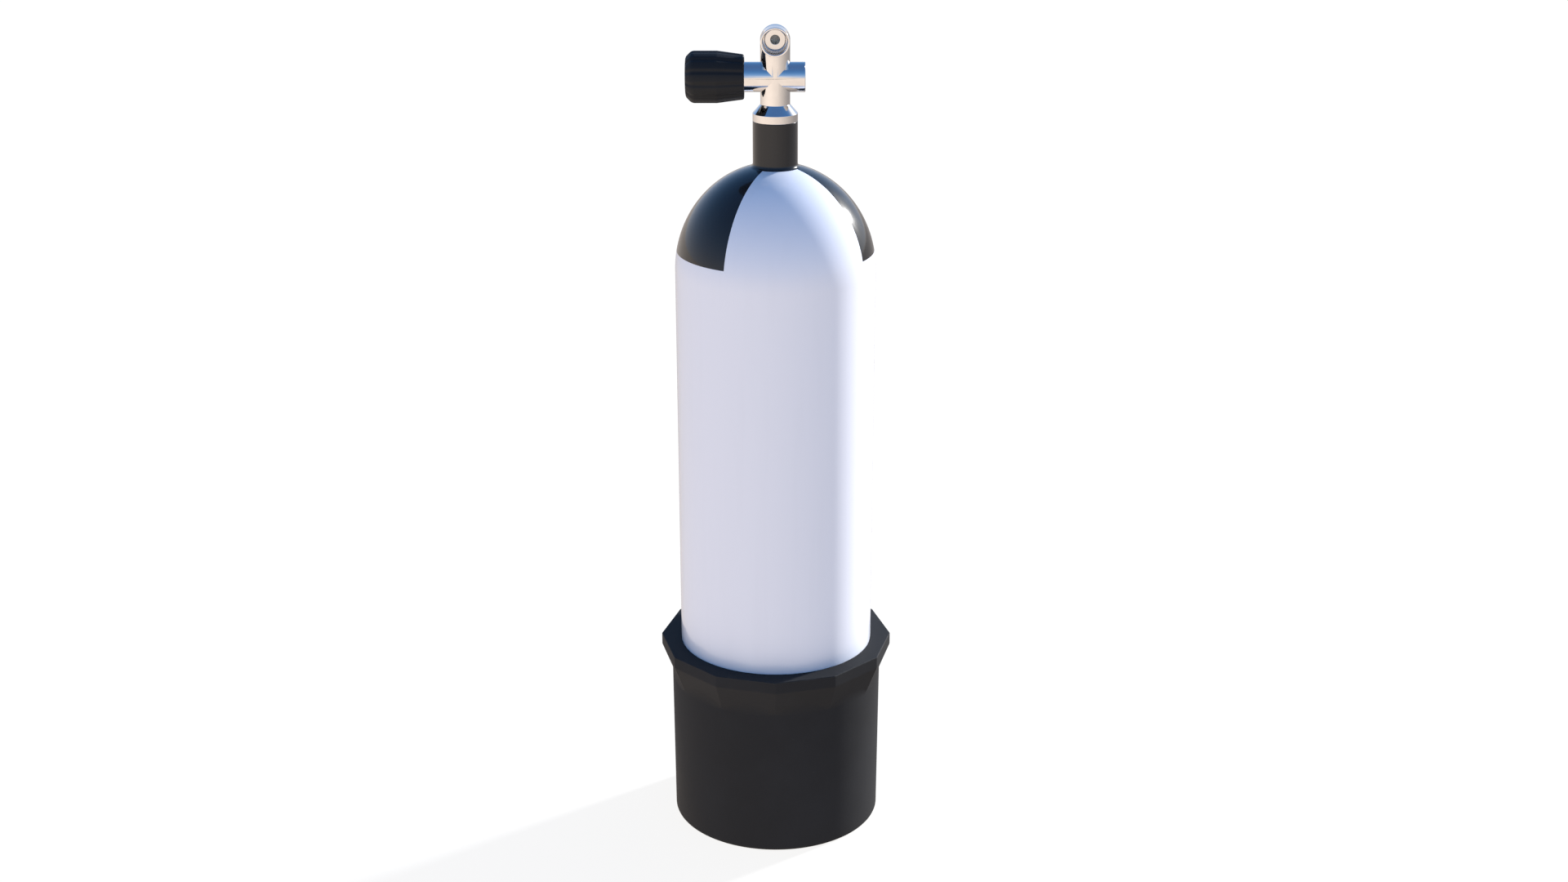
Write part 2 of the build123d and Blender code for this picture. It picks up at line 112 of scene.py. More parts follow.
def rounded(corners, steps=5, guard=GUARD):
    """Profile points in metres from corners in millimetres, given as (radius, height, rounding)."""
    points = []
    for i, corner in enumerate(corners):
        here = Vector(corner[:2]) * MM
        rounding = corner[2] * MM if len(corner) > 2 else 0
        if rounding == 0:
            points.append(here)
            continue
        back = (Vector(corners[i - 1][:2]) * MM - here).normalized()
        ahead = (Vector(corners[(i + 1) % len(corners)][:2]) * MM - here).normalized()
        half = back.angle(ahead) / 2
        reach = rounding / math.tan(half)
        centre = here + (back + ahead).normalized() * rounding / math.sin(half)
        start, end = here + back * reach, here + ahead * reach
        turn = (start - centre).angle_signed(end - centre)
        points.append(start + back * guard)
        for step in range(steps + 1):
            angle = -turn * step / steps
            arm = start - centre
            points.append(centre + Vector((
                arm.x * math.cos(angle) - arm.y * math.sin(angle),
                arm.x * math.sin(angle) + arm.y * math.cos(angle),
            )))
        points.append(end + ahead * guard)
    return points


def next_ring(here, there):
    """Extrudes the selected ring from one (radius, height) to the next."""
    move = {"value": (0, 0, there[1] - here[1])}
    bpy.ops.mesh.extrude_region_move(TRANSFORM_OT_translate=move)
    scale = there[0] / here[0]
    bpy.ops.transform.resize(value=(scale, scale, 1), center_override=(0, 0, there[1]))


def turned(name, profile, sides=96, closed=False):
    """A piece turned round Z. A profile that isn't a closed loop is shut with a pole at each end."""
    nothing_selected()
    first = profile[0]
    bpy.ops.mesh.primitive_circle_add(vertices=sides, radius=first[0], location=(0, 0, first[1]))
    piece = bpy.context.active_object
    piece.name = piece.data.name = name
    bpy.ops.object.transform_apply(location=True)
    bpy.ops.object.mode_set(mode="EDIT")
    bpy.ops.mesh.select_mode(type="EDGE")
    bpy.ops.mesh.select_all(action="SELECT")
    if not closed:
        close_start()
    for here, there in zip(profile, profile[1:]):
        next_ring(here, there)
    if closed:
        next_ring(profile[-1], first)
        bpy.ops.mesh.select_all(action="SELECT")
        bpy.ops.mesh.remove_doubles(threshold=0.001 * MM)
    else:
        close_end()
    bpy.ops.mesh.select_all(action="SELECT")
    bpy.ops.mesh.normals_make_consistent(inside=False)
    bpy.ops.object.mode_set(mode="OBJECT")
    return piece


def close_start():
    """Fans the first ring to a pole on the axis, then picks the ring up again."""
    close_end()
    bpy.ops.mesh.select_all(action="DESELECT")
    bpy.ops.mesh.select_non_manifold(extend=False)


def close_end():
    """Fans the last ring to a pole on the axis."""
    bpy.ops.mesh.extrude_region_move(TRANSFORM_OT_translate={"value": (0, 0, 0)})
    bpy.ops.mesh.merge(type="CENTER")


def place(piece, turn=(0, 0, 0), move=(0, 0, 0)):
    """Turns a piece about the origin in degrees, moves it in metres, and applies both to its mesh."""
    select_only(piece)
    piece.rotation_euler = [math.radians(angle) for angle in turn]
    piece.location = move
    bpy.ops.object.transform_apply(location=True, rotation=True)


def apply_modifier(piece, kind, **settings):
    """Adds a modifier, sets it up and applies it."""
    select_only(piece)
    modifier = piece.modifiers.new(kind.title(), kind)
    for key, value in settings.items():
        setattr(modifier, key, value)
    bpy.ops.object.modifier_apply(modifier=modifier.name)


def merge_close(piece, distance):
    """Merges points that are closer than a distance in metres."""
    select_only(piece)
    bpy.ops.object.mode_set(mode="EDIT")
    bpy.ops.mesh.select_all(action="SELECT")
    bpy.ops.mesh.remove_doubles(threshold=distance)
    bpy.ops.object.mode_set(mode="OBJECT")


def combine(piece, tool, operation):
    """Joins, cuts or intersects a piece with a tool, and throws the tool away."""
    apply_modifier(piece, "BOOLEAN", operation=operation, object=tool, solver="EXACT")
    bpy.data.objects.remove(tool)
    merge_close(piece, 0.004 * MM)


def pick(piece, kind, wanted):
    """Leaves edit mode on with only the wanted faces or points selected."""
    select_only(piece)
    bpy.ops.object.mode_set(mode="EDIT")
    bpy.ops.mesh.select_mode(type=kind)
    bpy.ops.mesh.select_all(action="DESELECT")
    bpy.ops.object.mode_set(mode="OBJECT")
    for item in piece.data.polygons if kind == "FACE" else piece.data.vertices:
        item.select = wanted(item)
    bpy.ops.object.mode_set(mode="EDIT")


def paint(piece, wanted):
    """Gives the wanted faces the piece's second material."""
    pick(piece, "FACE", wanted)
    piece.active_material_index = 1
    bpy.ops.object.material_slot_assign()
    bpy.ops.object.mode_set(mode="OBJECT")


def coat(piece, *materials):
    """Leaves a piece with only these materials, and the first of them on every face."""
    piece.data.materials.clear()
    for material in materials:
        piece.data.materials.append(material)


def smooth(piece, angle):
    """Soft shading under an angle, with the large faces setting the normals of small ones."""
    select_only(piece)
    bpy.ops.object.shade_smooth_by_angle(angle=math.radians(angle))
    apply_modifier(piece, "WEIGHTED_NORMAL", keep_sharp=True)


def report(piece):
    """Prints how many faces a piece has and how large it is."""
    size = [round(side / MM, 1) for side in piece.dimensions]
    print(piece.name, "faces", len(piece.data.polygons), "size mm", size)


# %% [markdown]
# ## Helpers for materials
# Each finish is a node tree of its own, but a few effects turn up in nearly all of them: a fine
# grain, wear along edges, and the marks that handling and salt water leave. Those are built once
# as node groups. A group gives out masks and heights only, and the shader stays in the material.

# %% Helpers: shader nodes
def add_node(tree, kind, inputs=(), **settings):
    """Adds a node, sets its properties, and gives each named input a value or a link."""
    made = tree.nodes.new(kind)
    for key, value in settings.items():
        setattr(made, key, value)
    for name, value in dict(inputs).items():
        if isinstance(value, bpy.types.NodeSocket):
            tree.links.new(value, made.inputs[name])
        else:
            made.inputs[name].default_value = value
    return made


def math_node(tree, operation, first, second=0.0, third=0.0):
    """The result of one Math node."""
    made = add_node(tree, "ShaderNodeMath", {0: first, 1: second, 2: third}, operation=operation)
    return made.outputs[0]


def spread(tree, value, low, high, to_low=0.0, to_high=1.0):
    """Stretches the part of a value between low and high to a new range, and clamps it."""
    inputs = {"Value": value, 1: low, 2: high, 3: to_low, 4: to_high}
    return add_node(tree, "ShaderNodeMapRange", inputs).outputs["Result"]


def dot(tree, first, second):
    """How nearly two directions agree, from -1 to 1."""
    inputs = {0: first, 1: second}
    return add_node(tree, "ShaderNodeVectorMath", inputs, operation="DOT_PRODUCT").outputs["Value"]


def mix_colours(tree, factor, first, second):
    """The first colour where the factor is 0, the second where it is 1."""
    inputs = {"Factor": factor, 6: first, 7: second}
    return add_node(tree, "ShaderNodeMix", inputs, data_type="RGBA").outputs[2]


def shaded(colour, factor):
    """A colour made lighter or darker by a factor."""
    return tuple(value * factor for value in colour[:3]) + (1,)


def noise(tree, place_socket, scale, detail=3.0, roughness=0.5):
    """A value between 0 and 1 that wanders with place."""
    inputs = {"Vector": place_socket, "Scale": scale, "Detail": detail, "Roughness": roughness}
    return add_node(tree, "ShaderNodeTexNoise", inputs).outputs["Fac"]


def object_place(tree):
    """Where a point is in the object's own coordinates."""
    return add_node(tree, "ShaderNodeTexCoord").outputs["Object"]


def stretched(tree, place_socket, scale, turn=(0, 0, 0)):
    """Turns and squeezes a pattern's coordinates, so that it comes out as streaks."""
    inputs = {"Vector": place_socket, "Rotation": turn, "Scale": scale}
    return add_node(tree, "ShaderNodeMapping", inputs).outputs[0]


def new_group(name, inputs, outputs):
    """An empty node group with named number inputs and outputs."""
    group = bpy.data.node_groups.new(name, "ShaderNodeTree")
    for label, value in inputs.items():
        made = group.interface.new_socket(label, in_out="INPUT", socket_type="NodeSocketFloat")
        made.default_value = value
    for label in outputs:
        group.interface.new_socket(label, in_out="OUTPUT", socket_type="NodeSocketFloat")
    return group, group.nodes.new("NodeGroupInput"), group.nodes.new("NodeGroupOutput")


def use_group(tree, group, **inputs):
    """A copy of a group in a tree, with numbers for its inputs."""
    made = tree.nodes.new("ShaderNodeGroup")
    made.node_tree = group
    for label, value in inputs.items():
        made.inputs[label.replace("_", " ")].default_value = value
    return made


def new_material(name, **values):
    """A material with one Principled shader, and plain values for some of its sockets."""
    material = bpy.data.materials.new(name)
    material.use_nodes = True
    tree = material.node_tree
    shader = tree.nodes["Principled BSDF"]
    for label, value in values.items():
        shader.inputs[label.replace("_", " ")].default_value = value
    return material, tree, shader


def bump(tree, height, strength, distance):
    """A normal from a height, with the relief's depth in metres."""
    inputs = {"Height": height, "Strength": strength, "Distance": distance}
    return add_node(tree, "ShaderNodeBump", inputs).outputs["Normal"]


# %% [markdown]
# ## Shared effect: grain
# Enamel dries with a faint orange peel and moulded rubber keeps the texture of its mould. Both
# are one noise at two sizes added together, so one group serves for both, and each material
# gives it its own scale. It could be sculpted as real relief, but it is far too fine for that.

# %% Group: grain
def make_grain():
    group, ins, outs = new_group("fine_grain", {"Scale": 400.0, "Coarse": 0.3}, ["Height"])
    spot = object_place(group)
    fine = noise(group, spot, ins.outputs["Scale"], 2.0)
    coarse = noise(group, spot, math_node(group, "MULTIPLY", ins.outputs["Scale"], 0.13), 1.0)
    mixed = math_node(group, "MULTIPLY_ADD", coarse, ins.outputs["Coarse"], fine)
    group.links.new(mixed, outs.inputs["Height"])
    return group


# %% [markdown]
# ## Shared effect: wear along edges
# Paint thins and rubber scuffs where a corner meets the ground or a hand. A Bevel node gives the
# normal that a slightly rounded edge would have; where it differs from the true normal there is
# an edge. A noise breaks the line up, because real wear is never even. Painting a mask by hand
# would work too, but it would have to be painted again each time that a shape changed.

# %% Group: edge wear
def make_edge_wear():
    group, ins, outs = new_group(
        "edge_wear", {"Width": 0.8 * MM, "Amount": 0.5, "Scale": 90.0}, ["Mask"]
    )
    soft = add_node(group, "ShaderNodeBevel", {"Radius": ins.outputs["Width"]}, samples=6)
    true = add_node(group, "ShaderNodeNewGeometry").outputs["Normal"]
    edge = spread(group, dot(group, soft.outputs[0], true), 0.999, 0.93)
    patchy = noise(group, object_place(group), ins.outputs["Scale"], 5.0, 0.65)
    keep = spread(group, patchy, 0.42, 0.62)
    worn = math_node(group, "MULTIPLY", edge, keep)
    mask = math_node(group, "MULTIPLY", worn, ins.outputs["Amount"])
    group.links.new(mask, outs.inputs["Mask"])
    return group


# %% [markdown]
# ## Shared effect: handling marks
# Dried salt water, fingers and dust change how rough a surface is far more than its colour. The
# group gives three masks: soft blotches, thin upright runs as drying water leaves, and fine
# scratches. Scratches are a noise squeezed along one direction until it turns into lines.

# %% Group: handling marks
def make_marks():
    group, ins, outs = new_group(
        "handling_marks", {"Scale": 9.0}, ["Blotches", "Runs", "Scratches"]
    )
    spot = object_place(group)
    blotch = noise(group, spot, ins.outputs["Scale"], 6.0, 0.6)
    group.links.new(spread(group, blotch, 0.42, 0.68), outs.inputs["Blotches"])
    upright = stretched(group, spot, (14.0, 14.0, 1.0))
    run = noise(group, upright, ins.outputs["Scale"], 3.0)
    group.links.new(spread(group, run, 0.5, 0.75), outs.inputs["Runs"])
    slanted = stretched(group, spot, (4.0, 60.0, 60.0), turn=(0.5, 0.35, 0.2))
    lines = noise(group, slanted, ins.outputs["Scale"], 4.0, 0.7)
    group.links.new(spread(group, lines, 0.66, 0.74), outs.inputs["Scratches"])
    return group


grain = make_grain()
edge_wear = make_edge_wear()
marks = make_marks()
print("groups:", [group.name for group in bpy.data.node_groups])

# %% [markdown]
# ## Enamel, white and black
# A diving cylinder is shot-blasted, primed and sprayed with gloss enamel. White marks the body,
# and the shoulder carries the four black and white quarters that mean breathing air. A clear
# coat layer over a plain base colour gives the wet, deep gloss, and the orange peel sits in the
# coat's bump. A metal shader would be wrong here, because the paint hides the steel completely.

# %% Materials: enamel
def enamel(name, colour, worn_colour, dust_colour):
    """Gloss paint, worn at its edges and dusty in upright runs."""
    material, tree, shader = new_material(
        name, Specular_IOR_Level=0.2, Coat_Weight=0.45, Coat_Roughness=0.03, Coat_IOR=1.5
    )
    peel = use_group(tree, grain, Scale=420.0, Coarse=0.5)
    wear = use_group(tree, edge_wear, Width=0.7 * MM, Amount=0.6, Scale=120.0)
    mark = use_group(tree, marks, Scale=7.0)
    dusty = math_node(tree, "MULTIPLY", mark.outputs["Runs"], 0.10)
    base = mix_colours(tree, dusty, colour, dust_colour)
    base = mix_colours(tree, wear.outputs["Mask"], base, worn_colour)
    tree.links.new(base, shader.inputs["Base Color"])
    dull = math_node(tree, "MULTIPLY_ADD", mark.outputs["Blotches"], 0.05, 0.16)
    dull = math_node(tree, "MULTIPLY_ADD", mark.outputs["Runs"], 0.06, dull)
    tree.links.new(dull, shader.inputs["Roughness"])
    normal = bump(tree, peel.outputs["Height"], 0.10, 0.03 * MM)
    tree.links.new(normal, shader.inputs["Normal"])
    return material


white_enamel = enamel(
    "white_enamel",
    colour=(0.87, 0.875, 0.93, 1),
    worn_colour=(0.60, 0.60, 0.61, 1),
    dust_colour=(0.76, 0.765, 0.81, 1),
)
black_enamel = enamel(
    "black_enamel",
    colour=(0.015, 0.015, 0.016, 1),
    worn_colour=(0.05, 0.05, 0.05, 1),
    dust_colour=(0.03, 0.03, 0.031, 1),
)
print("materials:", white_enamel.name, black_enamel.name)

# %% [markdown]
# ## The steel cylinder
# The cylinder is spun from one piece of steel, so its outside is a single turned skin: a round
# base, a straight barrel, a domed shoulder and a neck. The dome's height is not its radius, so
# it is an oval, stepped by angle. 144 sides put a line of edges on each border between the
# painted quarters, which is why the colours can change along a clean edge with no texture.

# %% Cylinder: profile
ROUND_SIDES = 144
BARREL_R = 85.5
BASE_Z = 8.0
BASE_DOME = 68.0
SHOULDER_Z = 512.0
SHOULDER_DOME = 91.0
NECK_R = 18.9
NECK_TOP_Z = 639.0
NECK_START_Z = 620.0
NECK_BORE_R = 12.6
NECK_BORE_END_Z = 600.0
GLAND_R = 15.3
GLAND_DEPTH = 2.4
NECK_BLEND = 4.0
QUARTER_EDGE_Z = 529.0
NECK_PAINT_R = 21.1


def oval(height, rise, start, end, steps):
    """Points on the shoulder's or base's oval, from one angle to another in degrees."""
    points = []
    for step in range(steps + 1):
        angle = math.radians(start + (end - start) * step / steps)
        points.append((BARREL_R * math.cos(angle), height + rise * math.sin(angle)))
    return points


def neck_blend_points():
    """Where the neck's blend meets the dome, and the blend's own arc, in millimetres."""
    angle = 80.0
    for _ in range(60):
        a = math.radians(angle)
        normal = Vector((math.cos(a) / BARREL_R, math.sin(a) / SHOULDER_DOME)).normalized()
        across = BARREL_R * math.cos(a) + NECK_BLEND * normal.x
        angle += (across - NECK_R - NECK_BLEND) * 0.3
    centre = Vector((across, SHOULDER_Z + SHOULDER_DOME * math.sin(a) + NECK_BLEND * normal.y))
    first = math.atan2(-normal.y, -normal.x)
    arc = []
    for step in range(9):
        turn = first + (-math.pi - first) * step / 8
        arc.append((centre.x + NECK_BLEND * math.cos(turn), centre.y + NECK_BLEND * math.sin(turn)))
    return angle, arc


blend_angle, blend_arc = neck_blend_points()
edge_angle = math.degrees(math.asin((QUARTER_EDGE_Z - SHOULDER_Z) / SHOULDER_DOME))
ring_angle = math.degrees(math.acos(NECK_PAINT_R / BARREL_R))
print("blend starts at", round(blend_angle, 2), "quarters at", round(edge_angle, 2))

# %% [markdown]
# The rings on the barrel are only there to keep its faces from being too long. A ring falls on
# the lower border of the black quarters and one on the foot of the neck, where colours change.

# %% Cylinder: turned skin
outline = oval(BASE_Z + BASE_DOME, BASE_DOME, -88, 0, 30)
outline += [(BARREL_R, z) for z in (120, 171, 240, 320, 400, 470)]
outline += oval(SHOULDER_Z, SHOULDER_DOME, 0, edge_angle, 6)
outline += oval(SHOULDER_Z, SHOULDER_DOME, edge_angle, ring_angle, 34)[1:]
outline += oval(SHOULDER_Z, SHOULDER_DOME, ring_angle, blend_angle, 2)[1:-1]
outline += blend_arc
skin = in_metres(outline)
skin += rounded([
    (NECK_R, NECK_START_Z),
    (NECK_R, NECK_TOP_Z, 0.4),
    (GLAND_R, NECK_TOP_Z, 0.2),
    (GLAND_R, NECK_TOP_Z - GLAND_DEPTH),
    (NECK_BORE_R, NECK_TOP_Z - GLAND_DEPTH),
    (NECK_BORE_R, NECK_BORE_END_Z),
])
cylinder = turned("cylinder_skin", skin, sides=ROUND_SIDES)
report(cylinder)

# %% [markdown]
# The paint borders follow rings and lines of edges that are already there, so painting is only a
# matter of picking faces by where their middle is. The front quarter is white from 30 degrees
# left of the outlet to 60 degrees right of it, and the colours swap at each quarter turn.

# %% Cylinder: paint the quarters
QUARTER_START = -30.0


def is_black(face):
    """True for a face on a black quarter, on the neck, or on the ring at the neck's foot."""
    middle = face.center / MM
    radius = math.hypot(middle.x, middle.y)
    if middle.z < QUARTER_EDGE_Z:
        return False
    if radius < NECK_PAINT_R:
        return True
    round_from_front = math.degrees(math.atan2(middle.x, -middle.y))
    quarter = math.floor((round_from_front - QUARTER_START) / 90)
    return quarter % 2 == 1


coat(cylinder, white_enamel, black_enamel)
paint(cylinder, is_black)
smooth(cylinder, 35)
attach(cylinder, "tank")
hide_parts("cylinder_shell")
print("black faces:", sum(face.material_index for face in cylinder.data.polygons))

# %% [markdown]
# ## Moulded rubber
# The boot is thick rubber from a mould: almost black, satin, and slightly grey where it has
# rubbed on decks and rock. Rubber scatters light in its skin, so its gloss is broad and weak.
# The wear group lightens its corners, and the grain group gives it the mould's fine texture.

# %% Materials: rubber
def rubber(name, colour, worn_colour, gloss, roughness, grain_scale, grain_depth):
    """Moulded rubber, faded in blotches and scuffed at its edges."""
    material, tree, shader = new_material(name, Specular_IOR_Level=gloss)
    skin_grain = use_group(tree, grain, Scale=grain_scale, Coarse=0.8)
    wear = use_group(tree, edge_wear, Width=1.6 * MM, Amount=0.8, Scale=70.0)
    mark = use_group(tree, marks, Scale=11.0)
    fading = math_node(tree, "MULTIPLY", mark.outputs["Blotches"], 0.35)
    base = mix_colours(tree, fading, colour, shaded(colour, 1.7))
    scuffed = math_node(tree, "MULTIPLY", mark.outputs["Scratches"], 0.35)
    scuffed = math_node(tree, "MAXIMUM", scuffed, wear.outputs["Mask"])
    base = mix_colours(tree, scuffed, base, worn_colour)
    tree.links.new(base, shader.inputs["Base Color"])
    dull = math_node(tree, "MULTIPLY_ADD", mark.outputs["Blotches"], 0.10, roughness)
    dull = math_node(tree, "MULTIPLY_ADD", wear.outputs["Mask"], 0.15, dull)
    tree.links.new(dull, shader.inputs["Roughness"])
    texture = skin_grain.outputs["Height"]
    height = math_node(tree, "MULTIPLY_ADD", mark.outputs["Scratches"], -0.4, texture)
    tree.links.new(bump(tree, height, 0.35, grain_depth), shader.inputs["Normal"])
    return material


boot_rubber = rubber(
    "moulded_boot_rubber",
    colour=(0.0225, 0.0225, 0.0235, 1),
    worn_colour=(0.046, 0.046, 0.048, 1),
    gloss=0.09,
    roughness=0.62,
    grain_scale=700.0,
    grain_depth=0.10 * MM,
)
grip_rubber = rubber(
    "soft_grip_rubber",
    colour=(0.0145, 0.0148, 0.016, 1),
    worn_colour=(0.030, 0.030, 0.032, 1),
    gloss=0.17,
    roughness=0.45,
    grain_scale=1500.0,
    grain_depth=0.05 * MM,
)
seal_rubber = rubber(
    "nitrile_rubber",
    colour=(0.012, 0.012, 0.012, 1),
    worn_colour=(0.030, 0.030, 0.030, 1),
    gloss=0.35,
    roughness=0.30,
    grain_scale=2500.0,
    grain_depth=0.02 * MM,
)
print("materials:", boot_rubber.name, grip_rubber.name, seal_rubber.name)

# %% [markdown]
# ## The boot
# The boot lets the round-bottomed cylinder stand, and its twelve-sided rim stops it rolling when
# it lies down. The outside is two solids joined: a slightly tapered round wall and a rim turned
# with only twelve sides. The cup that holds the cylinder is then cut out of both at once, so the
# top of the rim stays one flat face. Cutting a finished outside is also how a mould works.

# %% Boot: wall and rim
BOOT_FOOT_R = 93.0
BOOT_FOOT_ROUNDING = 2.5
BOOT_BODY_R = 94.1
BOOT_TOP_Z = 171.0
BOOT_WALL = 5.5
BOOT_SIDES = 12
RIM_CORNER_R = 103.5
RIM_WALL_Z = 160.5
RIM_TAPER_Z = 136.0
RIM_LIP_Z = 148.0
RIM_ROUNDING = 0.7
LIP_R = BARREL_R + 0.1
CUP_R = BOOT_FOOT_R - BOOT_WALL
BASE_EDGE_Z = BASE_Z + BASE_DOME

wall = rounded(
    [(60, 0), (BOOT_FOOT_R, 0, BOOT_FOOT_ROUNDING), (BOOT_BODY_R, RIM_WALL_Z)], steps=6, guard=1.0 * MM
)
# Two rings just under the rim keep its shading from running down the wall.
for height in (RIM_TAPER_Z - 6, RIM_TAPER_Z - 2):
    along = height / RIM_WALL_Z
    wall.insert(-1, Vector((BOOT_FOOT_R + (BOOT_BODY_R - BOOT_FOOT_R) * along, height)) * MM)
boot = turned("boot_skin", wall, sides=ROUND_SIDES)
rim_outline = [
    (BOOT_BODY_R - 0.3, RIM_TAPER_Z),
    (RIM_CORNER_R, RIM_WALL_Z),
    (RIM_CORNER_R, BOOT_TOP_Z),
]
rim = turned("boot_rim", in_metres(rim_outline), sides=BOOT_SIDES)
select_only(rim)
bpy.ops.object.mode_set(mode="EDIT")
bpy.ops.mesh.select_mode(type="EDGE")
bpy.ops.mesh.select_all(action="DESELECT")
bpy.ops.mesh.edges_select_sharp(sharpness=math.radians(10))
bpy.ops.mesh.bevel(offset=RIM_ROUNDING * MM, segments=3, profile=0.5)
bpy.ops.object.mode_set(mode="OBJECT")
combine(boot, rim, "UNION")
report(boot)

# %% [markdown]
# The foot under the bowl is cored out, with a hub, a ring to stand on and twelve webs between
# them. The core is made first as a turned ring, the webs are cut out of it, and the finished
# core is cut from the boot in one go. Holes in the bowl let water out.

# %% Boot: cup, cored foot and drains
CUP_DROP = 3.0
CORE_DROP = 8.0
LIP_CHAMFER = 0.8
FOOT_HUB_R = 14.0
FOOT_RING_R = 78.0
CORE_START_Z = -4.0
WEB = 4.0
DRAIN_R = 4.5
DRAIN_CIRCLE_R = 48.0
DRAIN_COUNT = 6


def bowl(drop, start_r, end_r, points=18):
    """The bowl's oval between two radii, lowered by drop from the cylinder's round base."""
    rise = BASE_DOME + drop
    made = []
    for step in range(points + 1):
        radius = start_r + (end_r - start_r) * step / points
        made.append((radius, BASE_EDGE_Z - rise * math.sqrt(1 - (radius / CUP_R) ** 2)))
    return made


cup_outline = bowl(CUP_DROP, 0.5, CUP_R - 0.02, 30)
cup_outline += [
    (CUP_R, RIM_LIP_Z),
    (LIP_R, RIM_LIP_Z),
    (LIP_R, BOOT_TOP_Z - LIP_CHAMFER),
    (LIP_R + 0.25, BOOT_TOP_Z - 0.3),
    (LIP_R + LIP_CHAMFER, BOOT_TOP_Z),
    (LIP_R + LIP_CHAMFER, BOOT_TOP_Z + 4),
]
cup = turned("cup", in_metres(cup_outline), sides=ROUND_SIDES)
combine(boot, cup, "DIFFERENCE")

core_outline = [(FOOT_HUB_R, CORE_START_Z)]
core_outline += bowl(CORE_DROP, FOOT_HUB_R, FOOT_RING_R)
core_outline += [(FOOT_RING_R, CORE_START_Z)]
core = turned("core", in_metres(core_outline), sides=ROUND_SIDES, closed=True)
for i in range(BOOT_SIDES // 2):
    nothing_selected()
    bpy.ops.mesh.primitive_cube_add(size=1)
    web = bpy.context.active_object
    web.scale = (2 * FOOT_RING_R * MM + 0.01, WEB * MM, 0.12)
    bpy.ops.object.transform_apply(scale=True)
    place(web, turn=(0, 0, i * 360 / BOOT_SIDES))
    combine(core, web, "DIFFERENCE")
combine(boot, core, "DIFFERENCE")

drain_places = [(0.0, 0.0)]
for i in range(DRAIN_COUNT):
    angle = math.radians(45 + 360 / DRAIN_COUNT * i)
    drain_places.append((DRAIN_CIRCLE_R * math.cos(angle), DRAIN_CIRCLE_R * math.sin(angle)))
for x, y in drain_places:
    drain = turned("drain", in_metres([(DRAIN_R, -5), (DRAIN_R, 60)]), sides=32)
    place(drain, move=(x * MM, y * MM, 0))
    combine(boot, drain, "DIFFERENCE")
smooth(boot, 24)
coat(boot, boot_rubber)
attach(boot, "tank")
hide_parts("tank_boot")
report(boot)

# %% [markdown]
# ## Chrome
# The valve is forged brass under bright chrome. Chrome has almost no colour of its own and shows
# the room, so its detail is in the surface: it is a little wavy from the forging, hazed where
# salt has dried, and brassy where an edge has worn through. The waviness has to be very shallow,
# because a mirror shows the smallest slope.

# %% Materials: metals
def metal(name, colour, worn_colour, roughness, wave_depth):
    """Bare or plated metal, hazed in blotches, finely scratched and worn at its edges."""
    material, tree, shader = new_material(name, Metallic=1.0)
    mark = use_group(tree, marks, Scale=38.0)
    wear = use_group(tree, edge_wear, Width=0.35 * MM, Amount=0.35, Scale=260.0)
    haze = math_node(tree, "MULTIPLY", mark.outputs["Blotches"], 0.5)
    base = mix_colours(tree, haze, colour, shaded(colour, 0.82))
    base = mix_colours(tree, wear.outputs["Mask"], base, worn_colour)
    tree.links.new(base, shader.inputs["Base Color"])
    dull = math_node(tree, "MULTIPLY_ADD", mark.outputs["Blotches"], 0.07, roughness)
    dull = math_node(tree, "MULTIPLY_ADD", mark.outputs["Scratches"], 0.12, dull)
    dull = math_node(tree, "MULTIPLY_ADD", wear.outputs["Mask"], 0.15, dull)
    tree.links.new(dull, shader.inputs["Roughness"])
    wave = use_group(tree, grain, Scale=190.0, Coarse=1.5)
    tree.links.new(bump(tree, wave.outputs["Height"], 0.25, wave_depth), shader.inputs["Normal"])
    return material


chrome = metal("bright_chrome", (0.77, 0.75, 0.74, 1), (0.62, 0.48, 0.28, 1), 0.05, 0.02 * MM)
brass = metal("turned_brass", (0.72, 0.54, 0.28, 1), (0.80, 0.66, 0.40, 1), 0.24, 0.03 * MM)
steel = metal("drawn_steel", (0.60, 0.60, 0.61, 1), (0.70, 0.70, 0.71, 1), 0.26, 0.03 * MM)
dull_metal = metal("dull_metal", (0.80, 0.80, 0.77, 1), (0.80, 0.78, 0.72, 1), 0.80, 0.04 * MM)
print("materials:", chrome.name, brass.name, steel.name, dull_metal.name)

# %% [markdown]
# ## The valve body
# The valve is a cross: an upright post on a collar, a cross arm of the same thickness through
# it, and an outlet that faces forward. Post and arm have the same radius and the same number of
# sides, so their edges meet and the joint is an X where the two surfaces cross. A real forging
# is machined in the same order, first the outsides and then the bores.

# %% Valve: post, arm and outlet
COLLAR_R = 18.9
COLLAR_TOP_Z = 645.5
CONE_TOP_Z = 652.9
POST_R = 12.4
ARM_Z = 675.3
ARM_PLUG_X = 25.0
ARM_KNOB_X = -30.0
OUTLET_Z = 706.2
OUTLET_R = 12.1
OUTLET_REACH = 18.2
SPIGOT_R = NECK_BORE_R - 0.15
SPIGOT_END_Z = 612.0
BALL_STEP = 3
VALVE_SIDES = 128

